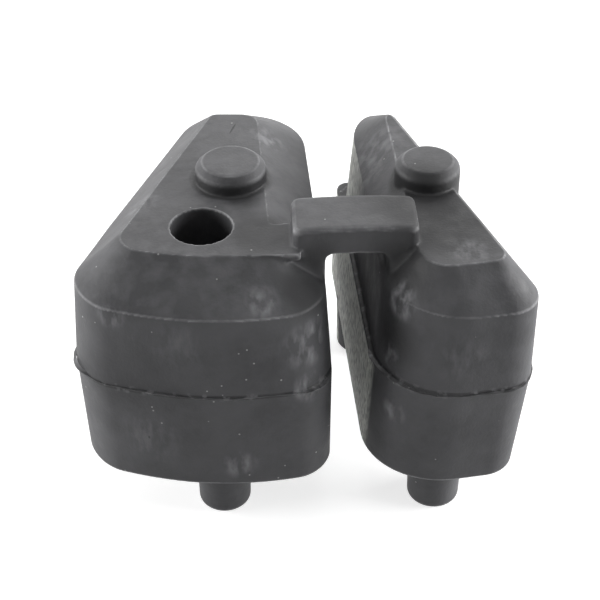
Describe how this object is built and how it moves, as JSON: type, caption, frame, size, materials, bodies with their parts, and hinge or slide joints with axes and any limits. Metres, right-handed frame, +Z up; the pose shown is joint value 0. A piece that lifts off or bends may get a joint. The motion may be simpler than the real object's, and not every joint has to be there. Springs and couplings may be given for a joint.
{
  "type": "cush drive rubber",
  "caption": "Moulded rubber cush drive damper: a large and a small wedge lobe joined by a bridge over the gap, with knobs above, pegs below and a round hole.",
  "frame": {"origin": "middle of the footprint, on the plane that the peg ends stand on", "axes": "+Z up out of the flat tops, -Y towards the wheel's rim, +Y towards the hub, +X from the large lobe to the small one; the gap runs along Y"},
  "size_m": [0.06, 0.0526, 0.0431],
  "materials": {
    "rubber": "matt moulded skin"
  },
  "bodies": {
    "root": {"damper_rubber": "rubber"}
  },
  "joints": []
}
